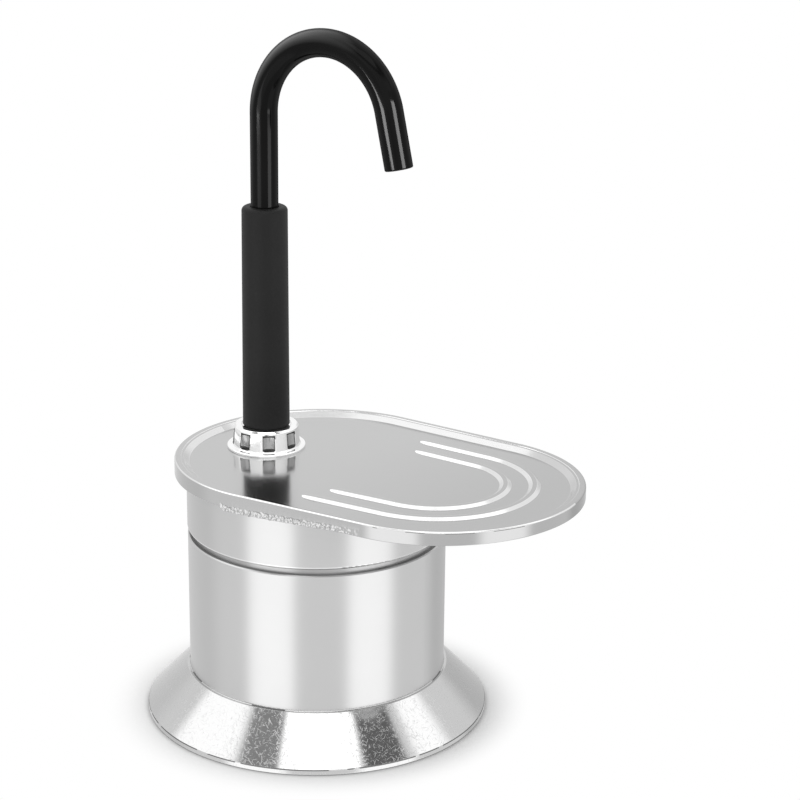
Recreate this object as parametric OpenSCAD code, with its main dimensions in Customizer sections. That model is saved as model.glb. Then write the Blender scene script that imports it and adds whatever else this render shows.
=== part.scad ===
// Stovetop espresso maker for one cup: a boiler on a flared foot, a funnel of coffee inside it, and
// a screwed-on cup platform with a gooseneck spout. The boiler's axis is Z, the stove is z = 0, and
// the cup stands towards +X.

/* [Fits] */
// Gap between pieces that slide, lift or turn past each other
clearance = 0.3; // [0.2:0.05:0.4]

/* [Boiler] */
// Outer diameter of the boiler
boiler_d = 60; // [57:0.5:66]
// Height of the boiler's shoulder above the stove
boiler_h = 43.6; // [41:0.2:52]
// Thickness of the boiler's side wall
boiler_wall = 2.6; // [2.2:0.1:2.8]
// Thickness of the boiler's floor
boiler_floor = 4; // [3:0.5:6]
// Chamfer round the shoulder's edge
shoulder_chamfer = 0.3; // [0.2:0.1:0.9]
// Width of the shoulder ledge round the neck
shoulder_w = 2.8; // [2.6:0.1:3.2]
// Width of the bare ledge between the shoulder's edge and the land at the neck's foot
ledge_w = 1; // [0.8:0.1:1.4]
// Height of the neck above the shoulder
neck_h = 9.6; // [8.6:0.2:12]
// Thickness of the neck's wall
neck_wall = 2.2; // [1.8:0.1:2.6]

/* [Foot] */
// Diameter of the flared foot
foot_d = 80; // [74:1:90]
// Height of the foot's upright outer edge
foot_edge = 1.2; // [0.8:0.1:2]
// Height at which the foot meets the boiler's wall
foot_h = 10.7; // [8:0.1:14]
// Width of the flat land at the top of the foot
foot_land = 0.7; // [0.3:0.1:1]

/* [Safety valve] */
// Height of the valve's axis above the stove
valve_z = 25; // [19:0.5:28]
// Width of the valve's hexagon across its flats
valve_flats = 7.2; // [6.8:0.1:7.8]
// Thickness of the hexagon
valve_hex_t = 2.4; // [2:0.1:3]
// Length of the round nose outside the hexagon
valve_nose_t = 1; // [0.6:0.1:1.6]
// Diameter of the screwed shank
valve_shank_d = 5.6; // [5.4:0.1:6]
// How far the shank reaches into the water
valve_reach = 1.5; // [1:0.1:2.5]
// Diameter of the bore that holds the plunger and spring
valve_bore_d = 3.8; // [3.6:0.1:4]
// Diameter of the steam orifice
valve_orifice_d = 1.4; // [1:0.1:2]
// Thickness of the seat round the orifice
valve_seat_t = 1.2; // [0.8:0.1:1.6]
// Thickness of the sealing washer
valve_washer_t = 0.6; // [0.4:0.1:1]
// Rim of the washer outside the shank
valve_washer_w = 1.6; // [1.3:0.1:1.8]
// Length of the plunger's head
plunger_head_t = 1.6; // [1.2:0.1:2]
// Diameter of the plunger's stem
plunger_stem_d = 1.2; // [1:0.1:1.3]
// How far the stem stands out of the valve
plunger_out = 0.8; // [0.4:0.1:1.2]
// Diameter of the spring's wire
spring_wire_d = 0.5; // [0.4:0.05:0.6]
// Thickness of the cap that holds the spring in
valve_cap_t = 0.8; // [0.6:0.1:1]

/* [Funnel] */
// Gap between the coffee basket and the neck's inside
basket_gap = 2; // [1.4:0.1:3]
// Depth of the basket below the neck's rim
basket_depth = 12; // [10:0.5:14]
// Thickness of the funnel's sheet
funnel_wall = 0.8; // [0.6:0.1:1]
// Thickness of the funnel's flange
flange_t = 1; // [0.8:0.1:1.4]
// Height of the funnel's cone
cone_h = 7; // [5:0.5:8]
// Outer diameter of the funnel's stem
stem_d = 7.2; // [6.6:0.1:7.2]
// Length of the stem's socket below the cone
socket_h = 4; // [3:0.5:6]
// Gap between the stem's end and the boiler's floor
stem_gap = 3; // [2:0.5:5]
// Thickness of the basket's sieve
sieve_t = 0.8; // [0.6:0.1:1]

/* [Gasket and screen] */
// Thickness of the gasket
gasket_t = 2.6; // [2:0.1:3.2]
// Width of the gasket's ring
gasket_w = 5.4; // [4.8:0.1:6]
// How far the screen overlaps the gasket
screen_lap = 3; // [2:0.1:3.6]
// Thickness of the upper screen
screen_t = 0.6; // [0.5:0.1:0.9]
// Diameter of the holes in the sieve and the screen
hole_d = 0.9; // [0.6:0.1:1.2]
// Distance from one ring of holes to the next
hole_pitch = 3.2; // [3:0.1:4]
// Rings of holes round the middle one
hole_rings = 6; // [3:1:6]

/* [Threaded collar] */
// How far the collar stands proud of the boiler
collar_proud = 0.1; // [0:0.1:0.6]
// Gap between the boiler's shoulder and the collar
collar_gap = 1.4; // [0.8:0.1:2]
// Radius of the collar's rounded lower edge
collar_round = 0.6; // [0.4:0.1:1.2]
// Radial room between neck and collar for the thread
thread_room = 1.3; // [1:0.1:1.4]
// Height of the coffee chamber above the screen
dome_h = 1.2; // [0.8:0.1:2]
// Thickness of the collar's roof over that chamber
roof_t = 0.9; // [0.8:0.1:1.6]

/* [Cup platform] */
// Radius of the platform's round ends
tray_r = 33.4; // [32:0.2:36]
// Distance of the rear end's centre in front of the boiler's axis
tray_rear_x = 0.8; // [0:0.1:1.2]
// Distance of the front end's centre in front of the boiler's axis
tray_front_x = 32.7; // [28:0.1:40]
// Thickness of the platform's floor
tray_floor_t = 1.4; // [1:0.1:2]
// Height of the lip above the floor
lip_h = 1.1; // [0.9:0.1:1.6]
// Width of the lip's flat top
lip_w = 2; // [1.2:0.1:2.4]
// Width of the lip's sloping inner side
lip_slope = 1.4; // [0.8:0.1:2]
// Width of the rim's skirt below the floor
skirt_w = 1.6; // [1.2:0.1:2]
// Depth of the skirt at the rear end
skirt_rear = 1.4; // [0.8:0.1:1.6]
// Depth of the skirt at the front end
skirt_front = 0.3; // [0.2:0.1:0.7]

/* [Cup ribs] */
// Centre of the ribs' arcs in front of the boiler's axis
rib_x = 31.6; // [29:0.2:33]
// Radius of the outer rib's middle line
rib_outer_r = 22.9; // [20.6:0.1:24]
// Radius of the inner rib's middle line
rib_inner_r = 16.4; // [14:0.1:17]
// Length of the outer rib's straight legs
rib_outer_leg = 18.4; // [14:0.1:21]
// Length of the inner rib's straight legs
rib_inner_leg = 15.8; // [12:0.1:19]
// Width of a rib at its foot
rib_w = 2.8; // [2.2:0.1:3]
// Height of a rib's round crown above the floor
rib_h = 0.6; // [0.3:0.1:0.6]

/* [Spout] */
// Distance of the spout's axis behind the boiler's axis
spout_back = 14.5; // [12:0.5:15]
// Outer diameter of the spout tube
tube_d = 6.3; // [5.6:0.1:6.6]
// Wall thickness of the spout tube
tube_wall = 0.8; // [0.6:0.1:1]
// Height at which the bend begins above the platform's floor
bend_rise = 78.7; // [72:0.5:90]
// Radius of the bend's middle line
bend_r = 17; // [15:0.2:20]
// Angle of the bend
bend_angle = 167.5; // [150:0.5:178]
// Length of the straight end after the bend
tip_len = 12.5; // [8:0.5:18]

/* [Spout nut] */
// Height of the nut above the platform's floor
nut_h = 5.6; // [5:0.1:6.5]
// Radius of the rim at the nut's foot
nut_rim_r = 9.2; // [8.8:0.1:9.5]
// Height of that rim
nut_rim_h = 0.7; // [0.5:0.1:0.9]
// Radius of the nut's fluted body just above the rim
nut_body_r = 7.9; // [7.6:0.1:8.2]
// Radius of the body at the nut's top
nut_top_r = 7.5; // [7.2:0.1:7.6]
// Chamfer round the nut's top edge
nut_chamfer = 0.4; // [0.2:0.1:0.6]
// Flutes round the nut
flute_count = 8; // [6:1:9]
// Radius of the cutter that makes a flute
flute_r = 2.2; // [1.8:0.1:2.4]
// Depth of a flute
flute_depth = 0.7; // [0.5:0.1:0.9]
// Distance from the rim up to the flutes
flute_foot = 0.3; // [0.2:0.1:0.6]
// Distance from the flutes up to the nut's top
flute_head = 0.8; // [0.6:0.1:1.2]
// Turn of the flutes from the +X axis
flute_turn = -4; // [-22.5:0.5:22.5]
// Diameter of the threaded stub inside the nut
stub_d = 9.2; // [9:0.1:9.6]
// Height of the stub above the platform's floor
stub_h = 2.5; // [2.2:0.1:2.8]
// Width of the stub's flange under the platform
stub_flange_w = 1.8; // [1.2:0.1:2.4]
// Radial room between stub and nut for the thread
nut_thread_room = 0.5; // [0.4:0.05:0.6]
// Thickness of the sealing ring on the stub
seal_t = 0.6; // [0.4:0.1:0.7]
// Thickness of the spout tube's flange
tube_flange_t = 0.8; // [0.6:0.1:0.8]

/* [Grip] */
// Outer diameter of the rubber grip at its top
grip_d = 10.5; // [10:0.1:10.8]
// Outer diameter of the grip at its foot
grip_foot_d = 10.9; // [10.6:0.1:11.4]
// Length of the grip above the nut
grip_len = 51.7; // [44:0.1:58]
// Depth of the seat in the nut that takes the grip's end
grip_seat = 0.6; // [0.5:0.1:0.7]
// Radius of the grip's rounded top edge
grip_round = 1.5; // [0.8:0.1:1.7]

/* [Hidden] */
$fn = 96;

// How far a cutting shape runs past the face it cuts
past = 1;

// Radii of the boiler
boiler_r = boiler_d / 2;
chamber_r = boiler_r - boiler_wall;
neck_r = boiler_r - shoulder_w;
land_r = boiler_r - ledge_w;
mouth_r = neck_r - neck_wall;

// Heights of the stack from the neck's rim to the platform's lip
neck_top = boiler_h + neck_h;
flange_top = neck_top + flange_t;
gasket_top = flange_top + gasket_t;
screen_top = gasket_top + screen_t;
dome_top = screen_top + dome_h;
collar_top = dome_top + roof_t;
tray_floor_z = collar_top + tray_floor_t;
nut_top = tray_floor_z + nut_h;

// The throat, a cone inside the boiler between its chamber and its neck
throat_top = boiler_h - shoulder_chamfer;
throat_low = throat_top - (chamber_r - mouth_r);

// Radii and levels of the funnel
flange_r = neck_r - clearance;
basket_out = mouth_r - basket_gap;
basket_in = basket_out - funnel_wall;
sieve_z = neck_top - basket_depth;
ledge_r = basket_in - funnel_wall;
stem_r = stem_d / 2;
stem_bore_r = stem_r - funnel_wall;
socket_top = sieve_z - cone_h;
socket_low = socket_top - socket_h;
stem_low = boiler_floor + stem_gap;

// Radii above the funnel
gasket_in = flange_r - gasket_w;
screen_r = gasket_in + screen_lap;
collar_r = boiler_r + collar_proud;
collar_bore = neck_r + thread_room;
collar_low = boiler_h + collar_gap;
land_top = collar_low - clearance;

// The ends of the platform, the slant of its skirt and the round of its ribs
tray_rear_end = tray_rear_x - tray_r;
tray_front_end = tray_front_x + tray_r;
skirt_slant = atan((skirt_rear - skirt_front) / (tray_front_end - tray_rear_end));
rib_round = (rib_w * rib_w / 4 + rib_h * rib_h) / (2 * rib_h);

// Positions along the valve's axis, measured outwards from the boiler's axis
washer_r = valve_shank_d / 2 + valve_washer_w;
spot_r = washer_r + clearance;
spot_z = sqrt(boiler_r * boiler_r - spot_r * spot_r);
shank_in = chamber_r - valve_reach;
seat_z = shank_in + valve_seat_t;
hex_z = spot_z + valve_washer_t;
nose_z = hex_z + valve_hex_t;
valve_end = nose_z + valve_nose_t;
cap_z = valve_end - valve_cap_t;
valve_bore_r = valve_bore_d / 2;
plunger_stem_r = plunger_stem_d / 2;
spring_z = seat_z + plunger_head_t;
spring_in = plunger_stem_r + clearance;

// The spout
tube_r = tube_d / 2;
tube_bore_r = tube_r - tube_wall;
bend_z = tray_floor_z + bend_rise;
grip_r = grip_d / 2;
grip_foot_r = grip_foot_d / 2;
grip_low = nut_top - grip_seat + clearance;
grip_top = nut_top + grip_len;
stub_r = stub_d / 2;
stub_top = tray_floor_z + stub_h;
seal_top = stub_top + seal_t;
tube_flange_top = seal_top + tube_flange_t;
nut_bore = stub_r + nut_thread_room;
nut_rim_top = tray_floor_z + nut_rim_h;
nut_slope = atan((nut_body_r - nut_top_r) / (nut_top - nut_chamfer - nut_rim_top));

// How far the tip's straight end starts back inside the bend, and the step where it leaves the bend
tip_lap = 0.5;
tip_step = 0.02;

// Turns its children so that their Z runs out along the valve's axis
module at_valve() {
    translate([0, 0, valve_z])
        rotate([0, -90, 0])
            children();
}

// Moves its children to the foot of the spout's axis
module at_spout() {
    translate([-spout_back, 0, 0])
        children();
}

// An upright ring, given by its two radii and its two levels
module ring(r_in, r_out, low, high) {
    translate([0, 0, low])
        difference() {
            cylinder(r = r_out, h = high - low);
            translate([0, 0, -past])
                cylinder(r = r_in, h = high - low + 2 * past);
        }
}

// A thin round plate drilled with rings of holes round a middle one
module perforated_plate(r, t) {
    difference() {
        cylinder(r = r, h = t);
        translate([0, 0, -past])
            cylinder(d = hole_d, h = t + 2 * past);
        for (k = [1 : hole_rings], i = [1 : 6 * k])
            rotate([0, 0, i * 60 / k])
                translate([k * hole_pitch, 0, -past])
                    cylinder(d = hole_d, h = t + 2 * past);
    }
}

// Sweeps a half section, drawn with its radius along X, round an outline with two round ends
module swept_platform() {
    translate([tray_front_x, 0, 0])
        rotate([0, 0, -90])
            rotate_extrude(angle = 180)
                children();
    translate([tray_rear_x, 0, 0])
        rotate([0, 0, 90])
            rotate_extrude(angle = 180)
                children();
    for (side = [0, 1])
        mirror([0, side, 0])
            translate([tray_rear_x, 0, 0])
                rotate([90, 0, 90])
                    linear_extrude(tray_front_x - tray_rear_x)
                        children();
}

// The rim's skirt below the platform's floor, deep at the rear and shallow at the front
module rim_skirt() {
    difference() {
        swept_platform()
            translate([tray_r - skirt_w, collar_top - skirt_rear])
                square([skirt_w, skirt_rear + tray_floor_t / 2]);
        translate([tray_rear_end, 0, collar_top - skirt_rear])
            rotate([0, -skirt_slant, 0])
                translate([-past, -tray_r - past, -2 * skirt_rear])
                    cube([tray_front_end - tray_rear_end + 2 * past, 2 * (tray_r + past), 2 * skirt_rear]);
    }
}

// Half of a rib's round section, from its middle line outwards, rooted in the platform's floor
module half_rib_section() {
    intersection() {
        translate([0, rib_h - rib_round])
            circle(rib_round);
        translate([0, -tray_floor_t / 2])
            square([rib_w / 2, tray_floor_t / 2 + rib_h]);
    }
}

// A rib's whole section
module rib_section() {
    half_rib_section();
    mirror([1, 0, 0])
        half_rib_section();
}

// A raised rib bent to a U, open towards the spout, with round ends
module cup_rib(r, leg) {
    translate([rib_x, 0, tray_floor_z]) {
        rotate([0, 0, -90])
            rotate_extrude(angle = 180)
                translate([r, 0])
                    rib_section();
        for (side = [-1, 1])
            translate([-leg, side * r, 0]) {
                rotate([90, 0, 90])
                    linear_extrude(leg)
                        rib_section();
                rotate_extrude()
                    half_rib_section();
            }
    }
}

module boiler() {
    color("gainsboro")
        difference() {
            rotate_extrude()
                polygon([
                    [0, 0],
                    [boiler_r, 0],
                    [boiler_r, boiler_h - shoulder_chamfer],
                    [boiler_r - shoulder_chamfer, boiler_h],
                    [land_r, boiler_h],
                    [land_r, land_top],
                    [neck_r, land_top],
                    [neck_r, neck_top],
                    [mouth_r, neck_top],
                    [mouth_r, throat_top],
                    [chamber_r, throat_low],
                    [chamber_r, boiler_floor],
                    [0, boiler_floor]
                ]);
            at_valve()
                cylinder(d = valve_shank_d, h = boiler_r + past);
            at_valve()
                translate([0, 0, spot_z])
                    cylinder(r = spot_r, h = boiler_r);
        }
}

module foot_ring() {
    color("gainsboro")
        rotate_extrude()
            polygon([
                [boiler_r, 0],
                [foot_d / 2, 0],
                [foot_d / 2, foot_edge],
                [boiler_r + foot_land, foot_h],
                [boiler_r, foot_h]
            ]);
}

module valve_body() {
    color("goldenrod")
        at_valve()
            difference() {
                union() {
                    translate([0, 0, shank_in])
                        cylinder(d = valve_shank_d, h = valve_end - shank_in);
                    translate([0, 0, hex_z])
                        cylinder(d = valve_flats / cos(30), h = valve_hex_t, $fn = 6);
                }
                translate([0, 0, shank_in - past])
                    cylinder(d = valve_orifice_d, h = valve_seat_t + 2 * past);
                translate([0, 0, seat_z])
                    cylinder(r = valve_bore_r, h = valve_end);
            }
}

module valve_washer() {
    color("dimgray")
        at_valve()
            ring(valve_shank_d / 2, washer_r, spot_z, hex_z);
}

module valve_plunger() {
    color("silver")
        at_valve() {
            translate([0, 0, seat_z])
                cylinder(r = valve_bore_r - clearance, h = plunger_head_t);
            translate([0, 0, seat_z])
                cylinder(r = plunger_stem_r, h = valve_end + plunger_out - seat_z);
        }
}

// The spring's closed outer form: its wire goes round inside this sleeve
module valve_spring() {
    color("lightgray")
        at_valve()
            ring(spring_in, spring_in + spring_wire_d, spring_z, cap_z);
}

module valve_cap() {
    color("goldenrod")
        at_valve()
            ring(plunger_stem_r + clearance, valve_bore_r, cap_z, valve_end);
}

module funnel() {
    color("lightgray")
        rotate_extrude()
            polygon([
                [flange_r, neck_top],
                [flange_r, flange_top],
                [basket_in, flange_top],
                [basket_in, sieve_z],
                [ledge_r, sieve_z],
                [stem_r, socket_top],
                [stem_r, socket_low],
                [stem_r + funnel_wall, socket_low],
                [stem_r + funnel_wall, socket_top - funnel_wall],
                [basket_out, sieve_z - funnel_wall],
                [basket_out, neck_top]
            ]);
}

module funnel_stem() {
    color("lightgray")
        ring(stem_bore_r, stem_r, stem_low, socket_top);
}

module basket_sieve() {
    color("silver")
        translate([0, 0, sieve_z])
            perforated_plate(basket_in, sieve_t);
}

module gasket() {
    color("whitesmoke")
        ring(gasket_in, flange_r, flange_top, gasket_top);
}

module upper_screen() {
    color("silver")
        translate([0, 0, gasket_top])
            perforated_plate(screen_r, screen_t);
}

// Half section of the collar, with its lower outer edge rounded
module collar_section() {
    difference() {
        polygon([
            [collar_bore, collar_low],
            [collar_r, collar_low],
            [collar_r, collar_top],
            [0, collar_top],
            [0, dome_top],
            [gasket_in, dome_top],
            [gasket_in, screen_top],
            [screen_r + clearance, screen_top],
            [screen_r + clearance, gasket_top],
            [neck_r, gasket_top],
            [neck_r, flange_top - clearance],
            [collar_bore, flange_top - clearance]
        ]);
        translate([collar_r - collar_round, collar_low])
            difference() {
                translate([0, -past])
                    square(collar_round + past);
                translate([0, collar_round])
                    circle(collar_round);
                translate([0, collar_round])
                    square([collar_round + past, past]);
            }
    }
}

module threaded_collar() {
    color("gainsboro")
        difference() {
            rotate_extrude()
                collar_section();
            at_spout()
                translate([0, 0, screen_top])
                    cylinder(r = stub_r, h = collar_top);
        }
}

module cup_platform() {
    color("gainsboro")
        difference() {
            union() {
                swept_platform()
                    polygon([
                        [0, collar_top],
                        [tray_r, collar_top],
                        [tray_r, tray_floor_z + lip_h],
                        [tray_r - lip_w, tray_floor_z + lip_h],
                        [tray_r - lip_w - lip_slope, tray_floor_z],
                        [0, tray_floor_z]
                    ]);
                rim_skirt();
                cup_rib(rib_outer_r, rib_outer_leg);
                cup_rib(rib_inner_r, rib_inner_leg);
            }
            at_spout()
                translate([0, 0, collar_top - past])
                    cylinder(r = stub_r, h = tray_floor_t + 2 * past);
        }
}

// The threaded stub that the coffee rises through, flanged under the collar's roof
module spout_stub() {
    color("silver")
        at_spout() {
            ring(tube_bore_r, stub_r, screen_top + clearance, stub_top);
            ring(tube_bore_r, stub_r + stub_flange_w, screen_top + clearance, dome_top);
        }
}

module spout_seal() {
    color("dimgray")
        at_spout()
            ring(tube_bore_r, stub_r, stub_top, seal_top);
}

// A fluted union nut that clamps the tube's flange down on the stub, with a seat for the grip on top
module spout_nut() {
    color("silver")
        at_spout()
            difference() {
                rotate_extrude()
                    polygon([
                        [nut_bore, tray_floor_z],
                        [nut_rim_r, tray_floor_z],
                        [nut_rim_r, nut_rim_top],
                        [nut_body_r, nut_rim_top],
                        [nut_top_r, nut_top - nut_chamfer],
                        [nut_top_r - nut_chamfer, nut_top],
                        [grip_foot_r + clearance, nut_top],
                        [grip_foot_r + clearance, nut_top - grip_seat],
                        [tube_r + clearance, nut_top - grip_seat],
                        [tube_r + clearance, tube_flange_top],
                        [nut_bore, tube_flange_top]
                    ]);
                for (i = [1 : flute_count])
                    rotate([0, 0, flute_turn + i * 360 / flute_count])
                        translate([nut_body_r, 0, nut_rim_top])
                            rotate([0, -nut_slope, 0])
                                translate([flute_r - flute_depth, 0, flute_foot])
                                    cylinder(r = flute_r, h = nut_top - flute_head - flute_foot - nut_rim_top);
            }
}

// The spout's run from the stub's seal to its tip, as a solid rod
module spout_run(r) {
    translate([0, 0, seal_top])
        cylinder(r = r, h = bend_z - seal_top);
    translate([bend_r, 0, bend_z])
        rotate([90, 0, 0])
            rotate([0, 0, 180])
                rotate_extrude(angle = -bend_angle)
                    translate([bend_r, 0])
                        circle(r);
    translate([bend_r, 0, bend_z])
        rotate([0, bend_angle, 0])
            translate([-bend_r, 0, -tip_lap])
                cylinder(r = r - tip_step, h = tip_lap + tip_len);
}

module spout_tube() {
    color("black")
        at_spout()
            difference() {
                union() {
                    spout_run(tube_r);
                    translate([0, 0, seal_top])
                        cylinder(r = stub_r, h = tube_flange_t);
                }
                spout_run(tube_bore_r);
            }
}

module grip_sleeve() {
    color([0.12, 0.12, 0.12])
        at_spout()
            rotate_extrude()
                difference() {
                    polygon([
                        [tube_r, grip_low],
                        [grip_foot_r, grip_low],
                        [grip_r, grip_top - grip_round],
                        [grip_r, grip_top],
                        [tube_r, grip_top]
                    ]);
                    translate([grip_r - grip_round, grip_top - grip_round])
                        difference() {
                            square(grip_round + past);
                            circle(grip_round);
                        }
                }
}

boiler();
foot_ring();
valve_body();
valve_washer();
valve_plunger();
valve_spring();
valve_cap();
funnel();
funnel_stem();
basket_sieve();
gasket();
upper_screen();
threaded_collar();
cup_platform();
spout_stub();
spout_seal();
spout_nut();
spout_tube();
grip_sleeve();
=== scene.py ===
import math

import bmesh
import bpy
from mathutils import Matrix, Vector, noise


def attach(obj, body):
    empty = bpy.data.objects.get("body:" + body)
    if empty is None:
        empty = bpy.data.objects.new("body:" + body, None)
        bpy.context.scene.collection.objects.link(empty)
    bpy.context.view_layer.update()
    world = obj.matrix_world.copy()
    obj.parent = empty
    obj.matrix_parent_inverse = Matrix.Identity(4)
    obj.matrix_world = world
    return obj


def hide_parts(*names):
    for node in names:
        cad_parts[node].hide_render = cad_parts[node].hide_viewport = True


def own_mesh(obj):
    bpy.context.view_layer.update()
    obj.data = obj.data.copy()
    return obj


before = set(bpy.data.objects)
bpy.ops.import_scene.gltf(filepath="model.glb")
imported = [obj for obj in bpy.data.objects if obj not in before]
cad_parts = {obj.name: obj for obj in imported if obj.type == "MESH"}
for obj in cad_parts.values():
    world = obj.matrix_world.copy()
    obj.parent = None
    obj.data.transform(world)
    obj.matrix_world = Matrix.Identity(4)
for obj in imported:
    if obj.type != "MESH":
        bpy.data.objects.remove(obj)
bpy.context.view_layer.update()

MM = 0.001

# Sizes of the part in millimetres, in the frame of the CAD model
BOILER_R = 30.0
SHOULDER_Z = 43.6
NECK_R = 27.2
NECK_TOP = 53.2
FOOT_R = 40.0
FOOT_EDGE = 1.2
FOOT_H = 10.7
FOOT_LAND = 0.7
LAND_TOP = 44.7
COLLAR_BORE = 28.5
COLLAR_LOW = 45.0
THREAD_PITCH = 3.0
THREAD_H = 0.55
THREAD_W = 1.9
FLANGE_R = 26.9
FLANGE_T = 1.0
BASKET_OUT = 23.0
SHEET = 0.8
SIEVE_Z = 41.2
SOCKET_TOP = 34.2
SOCKET_LOW = 30.2
STEM_R = 3.6
GASKET_LOW = NECK_TOP + FLANGE_T
GASKET_W = 5.4
GASKET_T = 2.6
PLATE_Z = 59.5
PLATE_FLOOR = 60.9
LIP_TOP = 62.0
PLATE_R = 33.4
PLATE_REAR = 0.8
PLATE_FRONT = 32.7
LIP_W = 2.0
LIP_SLOPE = 1.4
LIP_STEP = 0.12
LIP_SHELF = 0.4
SKIRT_W = 1.6
SKIRT_REAR = 1.4
SKIRT_FRONT = 0.5
TAPER = 1.2
FRONT_LIFT = 0.35
TRAY_EDGE = 6.0
BURR_IN = 0.6
BURR_H = 1.6
BURR_DENT = 0.42
BURR_HANG = 0.95
BURR_WAVE = 0.3
RIB_X = 31.6
RIBS = ((22.9, 20.0, 18.6), (16.4, 17.0, 15.8))  # radius, near leg, far leg
RIB_W = 2.8
RIB_TOP_W = 1.1
RIB_H = 0.55
RIB_ROOT = 0.3
RIB_POINT = 3.6
SPOUT_X = -14.5
STUB_R = 4.6
STUB_TOP = 63.4
SEAL_TOP = 64.0
TUBE_R = 3.15
TUBE_BORE = 2.35
TUBE_FLANGE_T = 0.8
BEND_Z = 139.6
BEND_R = 17.0
BEND_ANGLE = math.radians(167.5)
TIP_LEN = 12.5
NUT_TOP = 66.5
NUT_RIM_R = 9.2
NUT_RIM_TOP = 61.6
NUT_BODY_R = 7.9
NUT_TOP_R = 7.5
NUT_CHAMFER = 0.4
NUT_BORE = 5.1
FLUTES = 8
FLUTE_R = 2.2
FLUTE_DEPTH = 0.7
FLUTE_LOW = 61.9
FLUTE_HIGH = 65.7
FLUTE_END = 0.16
FLUTE_SOFT = 0.14
FLUTE_TURN = math.radians(-4.0)
GRIP_R = 5.25
GRIP_FOOT_R = 5.45
GRIP_LOW = 66.2
GRIP_TOP = 118.2
GRIP_BORE = TUBE_R + 0.02
SEAT_DEPTH = 0.6
CLEAR = 0.3
VALVE_Z = 25.0
SHANK_R = 2.8
SHANK_IN = 25.9
SEAT_X = 27.1
SPRING_X = 28.7
SPOT_X = 29.63
HEX_X = 30.23
NOSE_X = 32.63
CAP_X = 32.83
VALVE_END = 33.63
HEX_FLATS = 7.2
HEX_OUT = HEX_FLATS / math.sqrt(3)
ORIFICE_R = 0.7
VALVE_BORE = 1.9
WASHER_R = 4.4
COIL_R = 1.15
COIL_TURNS = 5.0
COIL_END = 0.75  # turns at each end that lie close
COIL_END_SHARE = 0.06
WIRE_R = 0.25

# Keeps the platform's front inside the CAD model's box, whose round end has facets
INSET = 0.01

# Steps of the meshes
FOOT_STEPS = 720
COIL_STEPS = 36
ARC = 96
FAR_STEPS = 24
NEAR_STEPS = 200
BURR_ARC = 6
BURR_STEPS = 40
BURR_START = 14
BURR_FADE = 12
HOLE_STEPS = 64
LEG_STEPS = 40
FLUTE_ROWS = 64
FLUTE_STEPS = 48
BEND_STEP = 0.25

# Limits of the roundings
LEAST_ROUND = 0.02
MOST_REACH = 0.49
STRAIGHT = 1e-3


# ---- outlines and meshes

def unit(value):
    """The value, kept from 0 to 1."""
    return min(max(value, 0.0), 1.0)


def rounded(points, closed=True, steps=5):
    """Rounds the corners of an outline of (x, y, radius).

    Gives (x, y, nx, ny), with normals to the right of the run.
    """
    out = []
    last = len(points) - 1
    for i, (x, y, radius) in enumerate(points):
        here = Vector((x, y))
        if not closed and i in (0, last):
            run = Vector(points[1][:2]) - here if i == 0 else here - Vector(points[last - 1][:2])
            run.normalize()
            out.append((x, y, run.y, -run.x))
            continue
        before = Vector(points[i - 1][:2]) - here
        after = Vector(points[(i + 1) % (last + 1)][:2]) - here
        reach = MOST_REACH * min(before.length, after.length)
        before.normalize()
        after.normalize()
        half = before.angle(after) / 2
        if half > math.pi / 2 - STRAIGHT:
            out.append((x, y, after.y, -after.x))
            continue
        cut = min(max(radius, LEAST_ROUND) / math.tan(half), reach)
        r = cut * math.tan(half)
        centre = here + (before + after).normalized() * (r / math.sin(half))
        turn = math.pi - 2 * half
        side = 1 if after.x * before.y - after.y * before.x > 0 else -1
        first = here + before * cut - centre
        for k in range(steps + 1):
            a = side * turn * k / steps
            arm = Vector((
                first.x * math.cos(a) - first.y * math.sin(a),
                first.x * math.sin(a) + first.y * math.cos(a),
            ))
            normal = arm.normalized() * side
            out.append((*(centre + arm), *normal))
    return out


def dense(outline, step, low, high):
    """Adds points to a closed outline wherever it runs far along y between low and high."""
    out = []
    for i, point in enumerate(outline):
        out.append(point)
        after = outline[(i + 1) % len(outline)]
        run = after[1] - point[1]
        count = math.ceil(abs(run) / step) if abs(run) > step else 1
        for k in range(1, count):
            t = k / count
            y = point[1] + run * t
            if low <= y <= high:
                out.append((point[0] + (after[0] - point[0]) * t, y, point[2], point[3]))
    return out


def upright(x=0.0):
    """A straight path along Z through (x, 0); its distance is the height."""
    return lambda s: (Vector((x, 0, s)), Vector((1, 0, 0)), Vector((0, 1, 0)), Vector((0, 0, 1)))


def valve_path(s):
    """The valve's axis, out along -X."""
    return Vector((-s, 0, VALVE_Z)), Vector((0, 1, 0)), Vector((0, 0, -1)), Vector((-1, 0, 0))


def spout_path(s):
    """The gooseneck's middle line; the distance is the height until the bend begins."""
    a = min(max((s - BEND_Z) / BEND_R, 0.0), BEND_ANGLE)
    over = s - BEND_Z - BEND_R * BEND_ANGLE
    along = Vector((math.sin(a), 0, math.cos(a)))
    point = Vector((SPOUT_X + BEND_R * (1 - math.cos(a)), 0, BEND_Z + BEND_R * math.sin(a)))
    if s < BEND_Z:
        point.z = s
    if over > 0:
        point += along * over
    return point, Vector((math.cos(a), 0, -math.sin(a))), Vector((0, 1, 0)), along


def new_object(name, mesh):
    made = bpy.data.objects.new(name, mesh)
    bpy.context.scene.collection.objects.link(made)
    return made


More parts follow.
